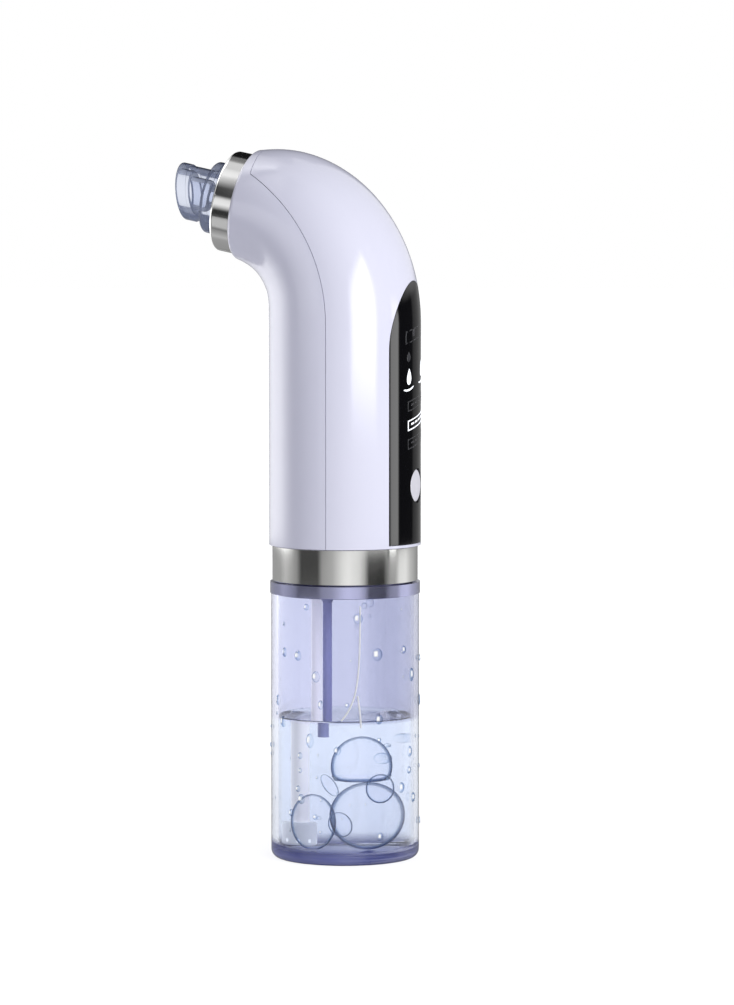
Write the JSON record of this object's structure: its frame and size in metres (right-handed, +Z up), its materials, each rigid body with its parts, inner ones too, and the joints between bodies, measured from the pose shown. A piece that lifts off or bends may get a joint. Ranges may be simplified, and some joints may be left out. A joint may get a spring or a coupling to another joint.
{
  "type": "blackhead vacuum extractor",
  "caption": "Handheld pore vacuum: bent two-shell handle with a pump inside, pull-off clear suction tip, push button panel, and a pull-off clear water cup.",
  "frame": {"origin": "centre of the water cup's flat base", "axes": "+Z up along the cup and the grip, +X to the back with the control panel, -X to the suction tip"},
  "size_m": [0.0699, 0.0428, 0.1999],
  "materials": {
    "shell_white": "high gloss",
    "panel_black": "high gloss",
    "ring_steel": "fine brushed",
    "socket_white": "satin",
    "tip_clear": "clear",
    "seal_rubber": "satin silicone",
    "coupling_violet": "translucent",
    "cup_clear": "clear",
    "tube_cream": "satin silicone",
    "filter_white": "satin",
    "button_white": "gloss",
    "switch_black": "matte",
    "board_green": "solder mask",
    "lamp_white": "clear lens",
    "guide_grey": "matte",
    "screw_steel": "zinc plated",
    "cell_wrap": "shrink wrap",
    "port_metal": "nickel plated",
    "frame_plastic": "moulded",
    "motor_steel": "nickel plated",
    "motor_plastic": "moulded",
    "magnet_grey": "ferrite",
    "rotor_copper": "wound copper",
    "pump_plastic": "moulded",
    "diaphragm_rubber": "matte",
    "hose_silicone": "translucent silicone"
  },
  "bodies": {
    "handle": {"back_shell": "shell_white", "battery_cell": "cell_wrap", "board_screws": "screw_steel", "charge_board": "board_green", "charge_socket": "port_metal", "control_panel": "panel_black", "cup_coupling": "coupling_violet", "cup_seal": "seal_rubber", "front_shell": "shell_white", "head_ring": "ring_steel", "indicator_lamps": "lamp_white", "inner_frame": "frame_plastic", "light_guide": "guide_grey", "main_board": "board_green", "motor_can": "motor_steel", "motor_cap": "motor_plastic", "motor_magnets": "magnet_grey", "pickup_filter": "filter_white", "pickup_tube": "tube_cream", "pump_body": "pump_plastic", "pump_cover": "pump_plastic", "pump_diaphragm": "diaphragm_rubber", "pump_rocker": "pump_plastic", "pump_screws": "screw_steel", "return_hose": "hose_silicone", "shell_screws": "screw_steel", "suction_hose": "hose_silicone", "supply_hose": "hose_silicone", "tact_switch": "switch_black", "tip_socket": "socket_white", "waist_ring": "ring_steel"},
    "power_button": {"power_button": "button_white", "switch_plunger": "switch_black"},
    "suction_tip": {"suction_tip": "tip_clear", "tip_seal": "seal_rubber"},
    "water_cup": {"water_cup": "cup_clear"},
    "motor_rotor": {"motor_rotor": "rotor_copper", "pump_eccentric": "pump_plastic"}
  },
  "joints": [
    {"name": "button_press", "type": "slide", "parent": "handle", "child": "power_button", "axis": [-1, 0, 0], "range_m": [0, 0.0005], "stiffness_N_per_m": 400, "springref_m": -0.002},
    {"name": "tip_pull", "type": "slide", "parent": "handle", "child": "suction_tip", "axis": [-0.9789, 0, 0.2045], "range_m": [0, 0.012]},
    {"name": "cup_pull", "type": "slide", "parent": "handle", "child": "water_cup", "axis": [0, 0, -1], "range_m": [0, 0.076]},
    {"name": "rotor_spin", "type": "hinge", "parent": "handle", "child": "motor_rotor", "pos_m": [0.005, 0, 0.118], "axis": [0, 0, 1], "continuous": true}
  ]
}
